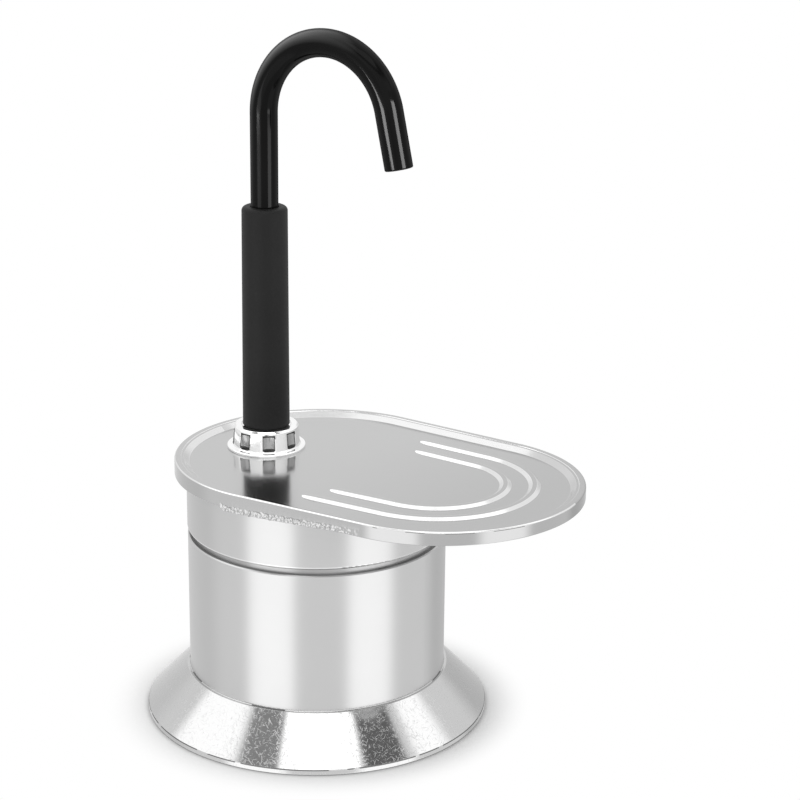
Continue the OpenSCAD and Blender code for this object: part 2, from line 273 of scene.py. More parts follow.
def to_object(name, bm, sharp=None):
    """A smooth object, with edges sharp past an angle in degrees or else with the normals in its layer."""
    bmesh.ops.remove_doubles(bm, verts=bm.verts, dist=1e-7)
    mesh = bpy.data.meshes.new(name)
    bm.to_mesh(mesh)
    bm.free()
    mesh.shade_smooth()
    if sharp is not None:
        mesh.set_sharp_from_angle(angle=math.radians(sharp))
    else:
        count = len(mesh.vertices)
        flat = [0.0] * (3 * count)
        mesh.attributes["own"].data.foreach_get("vector", flat)
        mesh.normals_split_custom_set_from_vertices([flat[3 * i:3 * i + 3] for i in range(count)])
        mesh.attributes.remove(mesh.attributes["own"])
    return new_object(name, mesh)


def join_rings(bm, rings):
    """Makes the faces between each ring of vertices and the next."""
    for a, b in zip(rings, rings[1:]):
        for j in range(len(a)):
            k = (j + 1) % len(a)
            bm.faces.new((a[j], a[k], b[k], b[j]))


def capped(name, bm, rings):
    """An object from a row of rings, closed at both ends."""
    join_rings(bm, rings)
    bm.faces.new(rings[0])
    bm.faces.new(rings[-1])
    bmesh.ops.recalc_face_normals(bm, faces=bm.faces)
    return to_object(name, bm, 50)


def turned(name, outline, path=None, segments=192):
    """Turns a closed outline of (radius, distance along the path, normal) round a path."""
    path = path or upright()
    bm = bmesh.new()
    layer = bm.verts.layers.float_vector.new("own")
    rings = []
    for r, s, nr, ns in outline:
        centre, u, v, along = path(s)
        ring = []
        for k in range(segments):
            a = 2 * math.pi * k / segments
            arm = u * math.cos(a) + v * math.sin(a)
            vert = bm.verts.new((centre + arm * r) * MM)
            vert[layer] = arm * nr + along * ns
            ring.append(vert)
        rings.append(ring)
    join_rings(bm, rings + rings[:1])
    return to_object(name, bm)


def shaped(name, outline, radius_at, path, segments, sharp):
    """Turns a closed outline of (radius, distance, tag) whose radius also depends on the angle."""
    bm = bmesh.new()
    rings = []
    for r, s, tag in outline:
        centre, u, v, _ = path(s)
        ring = []
        for k in range(segments):
            a = 2 * math.pi * k / segments
            arm = u * math.cos(a) + v * math.sin(a)
            ring.append(bm.verts.new((centre + arm * radius_at(r, s, tag, a)) * MM))
        rings.append(ring)
    join_rings(bm, rings + rings[:1])
    return to_object(name, bm, sharp)


def helix_ridge(name, root, crest, pitch, low, turns, width, centre_x=0.0, steps=96):
    """A thread's ridge on a wall of radius root, tapered away at both ends.

    It points inwards where crest is under root.
    """
    sink = 0.08 if crest > root else -0.08
    bm = bmesh.new()
    rings = []
    for i in range(int(turns * steps) + 1):
        turn = i / steps
        top = root - sink + (crest - root + sink) * unit(4 * min(turn, turns - turn))
        knee = root + (top - root) * 0.7
        a = 2 * math.pi * turn
        z = low + pitch * turn
        ring = []
        for r, share in (
            (root - sink, -0.5), (knee, -0.26), (top, -0.12), (top, 0.12), (knee, 0.26), (root - sink, 0.5),
        ):
            spot = Vector((centre_x + r * math.cos(a), r * math.sin(a), z + width * share))
            ring.append(bm.verts.new(spot * MM))
        rings.append(ring)
    return capped(name, bm, rings)


def wire(name, points, radius, segments=12):
    """A round wire along a line of points in mm, closed at its ends."""
    bm = bmesh.new()
    rings = []
    side = Vector((0, 0, 1))
    for i, point in enumerate(points):
        along = (points[min(i + 1, len(points) - 1)] - points[max(i - 1, 0)]).normalized()
        side = (side - along * side.dot(along)).normalized()
        other = along.cross(side)
        rings.append([
            bm.verts.new((point + (side * math.cos(t) + other * math.sin(t)) * radius) * MM)
            for t in (2 * math.pi * k / segments for k in range(segments))
        ])
    return capped(name, bm, rings)


# ---- materials

class Graph:
    """Short calls to add nodes to a tree."""

    def __init__(self, tree):
        self.tree = tree
        tree.nodes.clear()

    def plug(self, node, key, value):
        """Links a socket to a node's input, or sets the input to a value."""
        if isinstance(value, bpy.types.NodeSocket):
            self.tree.links.new(value, node.inputs[key])
        else:
            node.inputs[key].default_value = value

    def add(self, kind, *inputs, **settings):
        node = self.tree.nodes.new(kind)
        named = settings.pop("named", {})
        for key, value in settings.items():
            setattr(node, key, value)
        for key, value in [*enumerate(inputs), *named.items()]:
            self.plug(node, key, value)
        return node

    def math(self, operation, *inputs, clamp=False):
        return self.add("ShaderNodeMath", *inputs, operation=operation, use_clamp=clamp).outputs[0]

    def ramp(self, value, low, high, to_low=0.0, to_high=1.0):
        return self.add(
            "ShaderNodeMapRange", value, low, high, to_low, to_high, interpolation_type="SMOOTHSTEP").outputs[0]

    def window(self, value, low, high, soft):
        """1 between low and high and 0 outside, with soft ends."""
        up = self.ramp(value, low - soft, low + soft)
        down = self.ramp(value, high - soft, high + soft, 1.0, 0.0)
        return self.math("MULTIPLY", up, down)

    def noise(self, vector, scale, detail=2.0, rough=0.5):
        return self.add("ShaderNodeTexNoise", named={
            "Vector": vector, "Scale": scale, "Detail": detail, "Roughness": rough}).outputs[0]

    def stretched(self, vector, x, y, z, shift=0.0):
        return self.add(
            "ShaderNodeVectorMath", vector, (x, y, z), (shift, shift, shift), operation="MULTIPLY_ADD").outputs[0]

    def shade(self, value, low, high):
        """A colour that goes from low, a colour or a socket, to high with a value from 0 to 1."""
        start = low if isinstance(low, bpy.types.NodeSocket) else (*low, 1)
        return self.add("ShaderNodeMix", data_type="RGBA", named={0: value, 6: start, 7: (*high, 1)}).outputs[2]

    def bump(self, height, strength, distance):
        """A bump of a distance in mm."""
        return self.add("ShaderNodeBump", named={
            "Strength": strength, "Distance": distance * MM, "Height": height}).outputs[0]


def material(name):
    """A material with a plain shader; also gives its graph, the shader and the place on the object."""
    mat = bpy.data.materials.new(name)
    mat.use_nodes = True
    g = Graph(mat.node_tree)
    shader = g.add("ShaderNodeBsdfPrincipled")
    g.add("ShaderNodeOutputMaterial", shader.outputs[0])
    place = g.add("ShaderNodeTexCoord").outputs["Object"]
    return mat, g, shader, place


def link(g, shader, **sockets):
    for key, value in sockets.items():
        g.plug(shader, key.replace("_", " "), value)


def grey(value):
    return (value, value, value)


def tones(base, less=0.965, more=1.03):
    """Two tones, a little darker and a little lighter than a colour."""
    return [c * less for c in base], [min(1.0, c * more) for c in base]


ALU = grey(0.57)


def turned_metal(name, base=ALU, rough=0.3, stretch=0.8, bump=0.04, shade_and_highlight_bands=()):
    """Metal turned on a lathe about Z: fine rings, and a highlight drawn out across them.

    Each band of another tone, painted shade or a painted highlight, has its ends in mm of height, a grey, and its
    least and most cover.
    """
    mat, g, shader, place = material(name)
    spread = 0.05
    rings = g.noise(g.stretched(place, 60, 60, 5200), 1.0, 3.0, 0.6)
    cloud = g.noise(place, 55, 4.0, 0.55)
    tone = g.shade(cloud, *tones(base))
    height = g.add("ShaderNodeSeparateXYZ", place).outputs[2] if shade_and_highlight_bands else None
    # Bands of painted shade or painted highlight, laid over the tone with a patchy cover
    for low, high, value, least, most in shade_and_highlight_bands:
        band_cover = g.ramp(g.noise(place, 90, 2.0, 0.5), 0.4, 0.6, least, most)
        share = g.math("MULTIPLY", g.window(height, low * MM, high * MM, 0.04 * MM), band_cover)
        tone = g.shade(share, tone, grey(value))
    link(
        g, shader, Metallic=1.0, Base_Color=tone,
        Roughness=g.math("MULTIPLY_ADD", rings, spread, rough - spread / 2), Normal=g.bump(rings, bump, 0.06),
    )
    if stretch:
        tangent = g.add("ShaderNodeTangent", direction_type="RADIAL", axis="Z").outputs[0]
        link(g, shader, Anisotropic=stretch, Anisotropic_Rotation=0.25, Tangent=tangent)
    return mat


# Ways that the foot's scratches run, in degrees, each with a shift of its noise
SCRATCH_WAYS = ((12, 3.1), (48, 17.7), (81, 41.3), (117, 63.9), (154, 88.2))


def scratched_metal(name, base, rough, dull, depth):
    """Polished metal round Z, with short dull scratches that run every way over the surface."""
    mat, g, shader, place = material(name)
    apart = g.add("ShaderNodeSeparateXYZ", place).outputs
    around = g.math("MULTIPLY", g.math("ARCTAN2", apart[1], apart[0]), FOOT_R * MM * 0.9)
    flat = g.add("ShaderNodeCombineXYZ", around, g.math("MULTIPLY", apart[2], 1.4), 0.0).outputs[0]
    strokes = None
    for turn, seed in SCRATCH_WAYS:
        way = g.add("ShaderNodeVectorRotate", flat, rotation_type="Z_AXIS", named={"Angle": math.radians(turn)})
        line = g.ramp(g.noise(g.stretched(way.outputs[0], 600, 4000, 1, seed), 1.0, 1.0, 0.5), 0.635, 0.73)
        strokes = line if strokes is None else g.math("MAXIMUM", strokes, line)
    cloud = g.noise(place, 55, 4.0, 0.55)
    mottle = g.ramp(g.noise(place, 1100, 2.0, 0.5), 0.45, 0.7, rough, rough + 0.04)
    link(
        g, shader, Metallic=1.0, Base_Color=g.shade(cloud, *tones(base)),
        Roughness=g.math("MULTIPLY_ADD", strokes, dull, mottle), Normal=g.bump(strokes, depth, 0.06),
    )
    return mat


def sheet_metal(name, base, rough, end):
    """Rolled sheet: short strokes along X, a faint cloudiness, and a slow change of tone to the front end that is
    painted shade.
    """
    mat, g, shader, place = material(name)
    front = g.ramp(g.add("ShaderNodeSeparateXYZ", place).outputs[0], 0.0, 0.06)
    strokes = g.noise(g.stretched(place, 160, 2600, 600), 1.0, 3.0, 0.6)
    cloud = g.noise(place, 40, 3.0, 0.5)
    # Painted shade towards the front end, mixed with a random cloudiness
    cloud_and_front_shade = g.math("MULTIPLY_ADD", g.math("SUBTRACT", cloud, 0.5), 0.3, front, clamp=True)
    link(
        g, shader, Metallic=1.0, Base_Color=g.shade(cloud_and_front_shade, base, end),
        Roughness=g.math("MULTIPLY_ADD", strokes, 0.05, rough - 0.025), Normal=g.bump(strokes, 0.02, 0.04),
    )
    return mat


def satin_metal(name, base, rough, grain=900.0, depth=0.06):
    """Metal with a fine even grain."""
    mat, g, shader, place = material(name)
    fine = g.noise(place, grain, 3.0, 0.6)
    cloud = g.noise(place, 70, 3.0, 0.5)
    link(
        g, shader, Metallic=1.0, Base_Color=g.shade(cloud, *tones(base, 0.93, 1.05)),
        Roughness=g.math("MULTIPLY_ADD", fine, 0.12, rough - 0.06), Normal=g.bump(fine, depth, 0.05),
    )
    return mat


def gloss_black(name):
    """Black enamel with a slight orange peel, duller aslant so that lamps do not burn its outline white."""
    mat, g, shader, place = material(name)
    peel = g.noise(place, 300, 2.0, 0.5)
    cloud = g.noise(place, 60, 3.0, 0.5)
    aslant = g.ramp(g.add("ShaderNodeLayerWeight", 0.5).outputs["Facing"], 0.42, 0.75, 0.07, 0.62)
    link(
        g, shader, Base_Color=g.shade(cloud, grey(0.001), grey(0.0025)),
        Roughness=g.math("MULTIPLY_ADD", cloud, 0.06, aslant), Normal=g.bump(peel, 0.02, 0.04),
        Specular_IOR_Level=0.06,
    )
    return mat


def rubber(name, low, high, rough, grain=1500.0, depth=0.12):
    """Matt rubber with a fine grain and a few pale specks."""
    mat, g, shader, place = material(name)
    fine = g.noise(place, grain, 3.0, 0.65)
    cloud = g.noise(place, 90, 4.0, 0.55)
    specks = g.ramp(g.noise(place, 2600, 1.0, 0.5), 0.62, 0.7)
    tone = g.shade(g.math("MULTIPLY_ADD", specks, 0.5, cloud, clamp=True), low, high)
    link(
        g, shader, Base_Color=tone, Roughness=g.math("MULTIPLY_ADD", fine, 0.14, rough - 0.07),
        Normal=g.bump(fine, depth, 0.06), Specular_IOR_Level=0.22,
    )
    return mat


alu_turned = turned_metal("aluminium_turned")
# Painted shade: a dark band over the recessed land under the collar, and a darker line along the shoulder's edge
alu_boiler = turned_metal("aluminium_boiler", shade_and_highlight_bands=(
    (SHOULDER_Z + 0.02, LAND_TOP + 0.2, 0.1, 0.26, 0.32),
    (SHOULDER_Z - 0.07, SHOULDER_Z + 0.02, 0.03, 0.45, 0.65),
))
# Painted highlight: a pale band along the collar's rounded lower edge
alu_collar = turned_metal("aluminium_collar", shade_and_highlight_bands=(
    (COLLAR_LOW + 0.15, COLLAR_LOW + 0.6, 0.8, 0.7, 1.0),
))
alu_foot = scratched_metal("aluminium_foot", ALU, 0.07, 0.24, 0.05)
# Painted shade: the plate darkens slowly towards its front end
alu_plate = sheet_metal("aluminium_plate", grey(0.51), 0.15, grey(0.45))
# Painted highlights for the platform's and ribs' slopes and roundings, lit copies of the plate's aluminium
alu_painted_highlight = satin_metal("aluminium_painted_highlight", grey(0.78), 0.16)
alu_painted_soft_highlight = satin_metal("aluminium_painted_soft_highlight", grey(0.63), 0.16)
# Painted shade, in dashes along the foot's crease and edge and low on the platform rim's outer rounding
alu_painted_shade = satin_metal("aluminium_painted_shade", grey(0.16), 0.4)
alu_spun = satin_metal("aluminium_spun", grey(0.55), 0.32)
chrome = satin_metal("chrome_bright", grey(0.95), 0.08, 400.0, 0.01)
# Painted shade for the nut's flutes, and darker painted shade along their edges and ends
chrome_pocket_shade = satin_metal("chrome_pocket_shade", grey(0.42), 0.14, 400.0, 0.01)
chrome_shade = satin_metal("chrome_shade", grey(0.07), 0.3)
black_gloss = gloss_black("black_enamel")
grip_black = rubber("rubber_black", grey(0.005), grey(0.011), 0.55)
silicone = rubber("silicone_white", (0.72, 0.72, 0.7), (0.8, 0.8, 0.78), 0.5, 700.0, 0.05)
dark_rubber = rubber("rubber_dark", grey(0.03), grey(0.05), 0.6)
brass = turned_metal("brass_turned", (0.66, 0.44, 0.15), 0.24, 0.0, 0.03)
steel = satin_metal("steel_bright", (0.52, 0.52, 0.53), 0.2)

for node, finish in {
    "boiler": alu_boiler, "threaded_collar": alu_collar, "valve_cap": brass, "valve_plunger": steel,
    "funnel_stem": alu_spun, "basket_sieve": alu_spun, "upper_screen": alu_spun, "spout_stub": alu_spun,
}.items():
    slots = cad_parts[node].data.materials
    slots.clear()
    slots.append(finish)


def dress(piece, body, finishes, slot, *nodes):
    """Gives a piece its materials and body, and lets it stand for CAD nodes."""
    for finish in finishes if isinstance(finishes, tuple) else (finishes,):
        piece.data.materials.append(finish)
    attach(piece, body)
    if nodes:
        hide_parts(*nodes)
    return piece


# ---- boiler, foot and valve

def in_painted_shade(x, y, z):
    """Whether the foot gets painted shade at a place: in dashes along the crease above it and along its edge."""
    r = math.hypot(x, y)
    if r < BOILER_R + 0.35 and FOOT_H - 0.02 < z < FOOT_H + 0.2:
        return noise.noise((x * 0.13, y * 0.13, 4.4)) > 0.05
    if r > FOOT_R - 0.16 and FOOT_EDGE - 0.3 < z < FOOT_EDGE + 0.1:
        return noise.noise((x * 0.4, y * 0.4, 9.4)) > -0.25
    return False


foot = turned("foot_flare", rounded([
    (BOILER_R - 0.1, 0, 0.05), (FOOT_R, 0, 0.2), (FOOT_R, FOOT_EDGE, 0.4),
    (BOILER_R + FOOT_LAND, FOOT_H, 0.12), (BOILER_R + 0.03, FOOT_H, 0.2),
    (BOILER_R + 0.03, FOOT_H + 0.4, 0.02), (BOILER_R - 0.1, FOOT_H + 0.4, 0.02),
], steps=8), segments=FOOT_STEPS)
# Painted shade in the foot's crease and along its edge
for face in foot.data.polygons:
    face.material_index = 1 if in_painted_shade(*(face.center / MM)) else 0
dress(foot, "boiler", (alu_foot, alu_painted_shade), "polished_aluminium", "foot_ring")

dress(helix_ridge(
    "neck_thread", NECK_R, NECK_R + THREAD_H, THREAD_PITCH, LAND_TOP + 1.2, 2.0, THREAD_W,
), "boiler", alu_turned, "polished_aluminium")


def hexagon(r, s, tag, a):
    """The valve's outside, cut to six flats with slightly blunt corners where the tag says so."""
    if tag == "hex":
        flat = HEX_FLATS / 2 / max(math.cos((a % (math.pi / 3)) - math.pi / 6), 1e-6)
        return min(r, flat, HEX_OUT * 0.985)
    return r


dress(shaped("valve_hex", [
    (ORIFICE_R, SHANK_IN, ""), (SHANK_R - 0.3, SHANK_IN, ""), (SHANK_R, SHANK_IN + 0.3, ""),
    (SHANK_R, HEX_X, ""), (HEX_OUT - 0.6, HEX_X, "hex"), (HEX_OUT, HEX_X + 0.35, "hex"),
    (HEX_OUT, NOSE_X - 0.35, "hex"), (HEX_OUT - 0.6, NOSE_X, "hex"), (SHANK_R, NOSE_X, ""),
    (SHANK_R, VALVE_END - 0.2, ""), (SHANK_R - 0.2, VALVE_END, ""), (VALVE_BORE + 0.1, VALVE_END, ""),
    (VALVE_BORE, VALVE_END - 0.1, ""), (VALVE_BORE, SEAT_X, ""), (ORIFICE_R, SEAT_X, ""),
], hexagon, valve_path, 96, 25), "boiler", brass, "valve_brass", "valve_body")

dress(turned("valve_seal", rounded([
    (SHANK_R, SPOT_X, 0.05), (WASHER_R, SPOT_X, 0.2), (WASHER_R, HEX_X, 0.28), (SHANK_R, HEX_X, 0.05),
]), valve_path, 96), "boiler", dark_rubber, "dark_rubber", "valve_washer")


def coil_line():
    """The spring's middle line, from the plunger's head to the cap, with close turns at its ends."""
    length = CAP_X - SPRING_X - 2 * WIRE_R
    points = []
    for i in range(int(COIL_TURNS * COIL_STEPS) + 1):
        turn = i / COIL_STEPS
        a = 2 * math.pi * turn
        along = SPRING_X + WIRE_R + length * (
            COIL_END_SHARE * unit(turn / COIL_END)
            + (1 - 2 * COIL_END_SHARE) * unit((turn - COIL_END) / (COIL_TURNS - 2 * COIL_END))
            + COIL_END_SHARE * unit((turn - COIL_TURNS + COIL_END) / COIL_END)
        )
        points.append(Vector((-along, COIL_R * math.cos(a), VALVE_Z + COIL_R * math.sin(a))))
    return points


coil = dress(wire("valve_coil", coil_line(), WIRE_R), "boiler", steel, "valve_steel", "valve_spring")
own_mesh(coil)

# ---- funnel and gasket

dress(turned("funnel_pressing", rounded([
    (FLANGE_R, NECK_TOP, 0.2), (FLANGE_R, NECK_TOP + FLANGE_T, 0.2),
    (BASKET_OUT - SHEET, NECK_TOP + FLANGE_T, 0.8), (BASKET_OUT - SHEET, SIEVE_Z, 0.05),
    (BASKET_OUT - 2 * SHEET, SIEVE_Z, 0.2), (STEM_R, SOCKET_TOP, 0.1), (STEM_R, SOCKET_LOW, 0.1),
    (STEM_R + SHEET, SOCKET_LOW, 0.2), (STEM_R + SHEET, SOCKET_TOP - SHEET, 1.2),
    (BASKET_OUT, SIEVE_Z - SHEET, 1.2), (BASKET_OUT, NECK_TOP, 0.3),
])), "funnel", alu_spun, "spun_aluminium", "funnel")

dress(turned("gasket_ring", rounded([
    (FLANGE_R - GASKET_W, GASKET_LOW, 0.5), (FLANGE_R, GASKET_LOW, 0.5),
    (FLANGE_R, GASKET_LOW + GASKET_T, 0.5), (FLANGE_R - GASKET_W, GASKET_LOW + GASKET_T, 0.5),
])), "gasket", silicone, "white_silicone", "gasket")

# ---- collar thread and cup platform

dress(helix_ridge(
    "collar_thread", COLLAR_BORE, COLLAR_BORE - THREAD_H, THREAD_PITCH, COLLAR_LOW + 1.6, 2.2, THREAD_W,
), "upper", alu_turned, "polished_aluminium")

# Places of the finishes in the platform's list: the plain plate, a painted highlight, painted shade and a softer
# painted highlight
PLATE, PAINTED_HIGHLIGHT, PAINTED_SHADE, PAINTED_SOFT_HIGHLIGHT = range(4)


def lift(x):
    """How far the platform's slight rise to its front end lifts a place at x."""
    return FRONT_LIFT * (x - SPOUT_X) / (PLATE_FRONT + PLATE_R - SPOUT_X)


def oval_stations():
    """Places round the platform: centre x, radius, angle, and how rough the rim's lower edge is there."""
    front = PLATE_FRONT + TAPER - INSET
    found = []

    def side(count, a, toward, rough):
        for k in range(count):
            t = k / count if toward else 1 - k / count
            if k or toward:
                x = PLATE_REAR + (front - PLATE_REAR) * t
                found.append((x, PLATE_R - TAPER * t, a, rough * min(1.0, 4 * (1 - t))))

    for k in range(ARC + 1):
        found.append((front, PLATE_R - TAPER, -math.pi / 2 + math.pi * k / ARC, 0.0))
    side(FAR_STEPS, math.pi / 2, False, 0.0)
    for k in range(ARC - BURR_ARC):
        found.append((PLATE_REAR, PLATE_R, math.pi / 2 + math.pi * k / ARC, 0.0))
    for k in range(BURR_STEPS):
        a = math.pi * (1.5 - BURR_ARC / ARC * (1 - k / BURR_STEPS))
        found.append((PLATE_REAR, PLATE_R, a, unit((k - BURR_START) / BURR_FADE)))
    side(NEAR_STEPS, 1.5 * math.pi, True, 1.0)
    return found


def burr(x, level):
    """How far the rim's rough lower edge is dented in at a distance x along it, from 0 to 1."""
    coarse = noise.noise((x * 1.25, level * 1.5, 1.9))
    fine = noise.noise((x * 2.7, level * 3.1, 7.3))
    return unit(0.45 + 0.9 * coarse + 0.55 * fine)


def rim_section(radius, low):
    """The tray's section: from the underside out round the skirt, up the rim and in to the floor."""
    shelf = radius - LIP_W + LIP_SHELF
    return rounded([
        (radius - TRAY_EDGE, PLATE_Z, 0), (radius - SKIRT_W, PLATE_Z, 0.2), (radius - SKIRT_W, low, 0.1),
        (radius, low, 0.25), *((radius, low + 0.15 * k, 0) for k in range(3, 12)),
        (radius, LIP_TOP, 0.45), (shelf + LIP_STEP, LIP_TOP, 0.05), (shelf, LIP_TOP - LIP_STEP, 0.05),
        (radius - LIP_W - 0.15, LIP_TOP - LIP_STEP, 0.12), (radius - LIP_W - LIP_SLOPE, PLATE_FLOOR, 0.3),
        (radius - TRAY_EDGE, PLATE_FLOOR, 0),
    ], closed=False)


def rim_finish(start, end, radius, a, along):
    """Which finish lies between two points of the tray's section: a painted highlight on the near inner slope, the
    lip's step and the near outer rounding, a softer painted highlight on the far inner slope, and painted shade in
    dashes at the foot of the outer rounding on the front end's near half.
    """
    d, z, nd, nz = start
    e, _, md, mz = end
    middle, rise, out = (d + e) / 2, (nz + mz) / 2, (nd + md) / 2
    shelf = radius - LIP_W + LIP_SHELF
    far = math.sin(a) > 0.1
    if middle < radius - LIP_W + 0.1 and z > PLATE_FLOOR - 0.01 and out < -0.3:
        return PAINTED_SOFT_HIGHLIGHT if far else PAINTED_HIGHLIGHT
    if shelf - 0.04 < middle < shelf + LIP_STEP + 0.04 and z > PLATE_FLOOR:
        return PAINTED_HIGHLIGHT
    if middle > radius - 0.46 and 0.22 < rise < 0.93:
        return PLATE if far else PAINTED_HIGHLIGHT
    if -1.5 < a < -0.1 and 0.02 < rise < 0.22 and noise.noise((along * 0.5, 3.3, 2.2)) > 0.1:
        return PAINTED_SHADE
    return PLATE


def hole_ring(bm, layer, z, lean):
    """The edge of the spout's hole on one side of the plate."""
    ring = []
    for k in range(HOLE_STEPS):
        a = 2 * math.pi * k / HOLE_STEPS
        x = SPOUT_X + STUB_R * math.cos(a)
        vert = bm.verts.new(Vector((x, STUB_R * math.sin(a), z + lift(x))) * MM)
        vert[layer] = (0, 0, lean)
        ring.append(vert)
    return ring


def fill_round(bm, outer, ring, lean):
    """Fills the flat between an outer loop and a ring inside it, facing up or down as lean says."""
    edges = []
    for loop in (outer, ring):
        for pair in zip(loop, loop[1:] + loop[:1]):
            edges.append(bm.edges.get(pair) or bm.edges.new(pair))
    filled = bmesh.ops.triangle_fill(bm, edges=edges, normal=(0, 0, lean), use_beauty=True)
    for face in filled["geom"]:
        if isinstance(face, bmesh.types.BMFace) and face.normal.z * lean < 0:
            face.normal_flip()


def platform():
    """The tray: a section swept round the oval, with its floor and underside filled in round a hole."""
    bm = bmesh.new()
    layer = bm.verts.layers.float_vector.new("own")
    rows, dented, finishes = [], [], []
    for x, radius, a, rough in oval_stations():
        along = x + radius * math.cos(a)
        share = (along - PLATE_REAR + PLATE_R) / (PLATE_FRONT - PLATE_REAR + 2 * PLATE_R)
        low = PLATE_Z - SKIRT_REAR - (SKIRT_FRONT - SKIRT_REAR) * share
        if rough:
            hang = unit((30 - along) / 26)
            low -= rough * (BURR_HANG * hang + BURR_WAVE * hang * noise.noise((along * 0.9, 5.1, 0.0)))
        section = rim_section(radius, low)
        row = []
        for d, z, nd, nz in section:
            level = z - low
            outside = rough and d > radius - BURR_IN
            dent = 0.0
            if outside and level < BURR_H:
                dent = BURR_DENT * rough * burr(along, level) * min(1.0, (BURR_H - level) / 0.3)
            r = d - dent
            vert = bm.verts.new(Vector((x + r * math.cos(a), r * math.sin(a), z + lift(along))) * MM)
            vert[layer] = (nd * math.cos(a), nd * math.sin(a), nz)
            if outside and level < BURR_H + 0.1:
                dented.append(vert)
            row.append(vert)
        rows.append(row)
        finishes.append([rim_finish(*pair, radius, a, along) for pair in zip(section, section[1:])])
    last = len(rows[0]) - 1
    for a, b, picks in zip(rows, rows[1:] + rows[:1], finishes):
        for j in range(last):
            face = bm.faces.new((a[j], b[j], b[j + 1], a[j + 1]))
            face.material_index = picks[j]
    under = hole_ring(bm, layer, PLATE_Z, -1)
    over = hole_ring(bm, layer, PLATE_FLOOR, 1)
    fill_round(bm, [row[0] for row in rows], under, -1)
    fill_round(bm, [row[last] for row in rows], over, 1)
    for k in range(HOLE_STEPS):
        n = (k + 1) % HOLE_STEPS
        bm.faces.new((under[k], under[n], over[n], over[k]))
    bm.normal_update()
    for vert in dented:
        vert[layer] = sum((f.normal * f.calc_area() for f in vert.link_faces), Vector()).normalized()
    return to_object("platform_tray", bm)


def rib_places(r, leg, far):
    """Places along a rib from its near end to its far one: x, y, angle, and distance from the nearer end."""
    slim = 0.6 * TAPER
    places = []
    for k in range(LEG_STEPS):
        run = leg * k / LEG_STEPS
        places.append((slim - leg + run, slim * k / LEG_STEPS - r, -math.pi / 2, run))
    for k in range(ARC + 1):
        a = -math.pi / 2 + math.pi * k / ARC
        places.append((slim + (r - slim) * math.cos(a), (r - slim) * math.sin(a), a, leg))
    for k in range(1, LEG_STEPS + 1):
        run = far * k / LEG_STEPS
        places.append((slim - run, r - slim * (1 - k / LEG_STEPS), math.pi / 2, far - run))
    return places


def ribs():
    """Two raised beads bent to a U, each one a closed bar rooted in the floor, with pointed ends."""
    section = rounded([
        (-RIB_W / 2, -RIB_ROOT, 0.05), (RIB_W / 2, -RIB_ROOT, 0.05), (RIB_W / 2, 0, 0.1),
        (RIB_TOP_W / 2, RIB_H, 0.35), (-RIB_TOP_W / 2, RIB_H, 0.35), (-RIB_W / 2, 0, 0.1),
    ])
    bm = bmesh.new()
    layer = bm.verts.layers.float_vector.new("own")
    for rib in RIBS:
        rows = []
        for x, y, a, inside in rib_places(*rib):
            t = min(1.0, inside / RIB_POINT)
            full = 0.22 + 0.78 * math.sqrt(t * (2 - t))
            row = []
            for d, z, nd, nz in section:
                out = d * full
                up = z * full if z > 0 else z
                east = RIB_X + x + out * math.cos(a)
                spot = Vector((east, y + out * math.sin(a), PLATE_FLOOR + lift(east) + up))
                vert = bm.verts.new(spot * MM)
                vert[layer] = (nd * math.cos(a), nd * math.sin(a), nz)
                row.append(vert)
            rows.append(row)
        for a, b in zip(rows, rows[1:]):
            for j in range(len(section)):
                k = (j + 1) % len(section)
                face = bm.faces.new((a[j], b[j], b[k], a[k]))
                # Painted highlight on the ribs' sloping sides; the flat top, the upright sides and the underside
                # keep the plate's finish
                face.material_index = PAINTED_HIGHLIGHT if 0.1 < a[j][layer].z + a[k][layer].z < 1.98 else PLATE
        bm.faces.new(rows[0])
        bm.faces.new(rows[-1][::-1])
    return to_object("cup_ribs", bm)


dress(platform(), "upper", (alu_plate, alu_painted_highlight, alu_painted_shade, alu_painted_soft_highlight), "polished_aluminium", "cup_platform")
dress(ribs(), "upper", (alu_plate, alu_painted_highlight), "polished_aluminium")

# ---- spout

dress(helix_ridge(
    "stub_thread", STUB_R, STUB_R + 0.3, 1.0, PLATE_FLOOR + 0.4, 1.8, 0.75, SPOUT_X, 64,
), "upper", alu_spun, "spun_aluminium")

dress(turned("spout_washer", rounded([
    (TUBE_BORE, STUB_TOP, 0.05), (STUB_R, STUB_TOP, 0.2), (STUB_R, SEAL_TOP, 0.2), (TUBE_BORE, SEAL_TOP, 0.05),
]), upright(SPOUT_X), 96), "upper", dark_rubber, "dark_rubber", "spout_seal")


def body_radius(z):
    """The radius of the nut's slightly conical body."""
    t = unit((z - NUT_RIM_TOP) / (NUT_TOP - NUT_CHAMFER - NUT_RIM_TOP))
    return NUT_BODY_R + (NUT_TOP_R - NUT_BODY_R) * t


def smooth_min(a, b, k):
    h = max(k - abs(a - b), 0.0) / k
    return min(a, b) - h * h * k / 4


def fluted(r, s, tag, a):
    """The nut's outside, with a round flute cut into its body between two shoulders."""
    if tag != "flute":
        return r
    pitch = 2 * math.pi / FLUTES
    off = (a - FLUTE_TURN + pitch / 2) % pitch - pitch / 2
    axis = body_radius(s) + FLUTE_R - FLUTE_DEPTH
    across = axis * math.sin(off)
    if abs(across) >= FLUTE_R:
        return r
    cut = axis * math.cos(off) - math.sqrt(FLUTE_R * FLUTE_R - across * across)
    ends = unit(min((s - FLUTE_LOW) / FLUTE_END, (FLUTE_HIGH - s) / FLUTE_END))
    ends = ends * ends * (3 - 2 * ends)
    return r + (min(smooth_min(r, cut, FLUTE_SOFT), r) - r) * ends


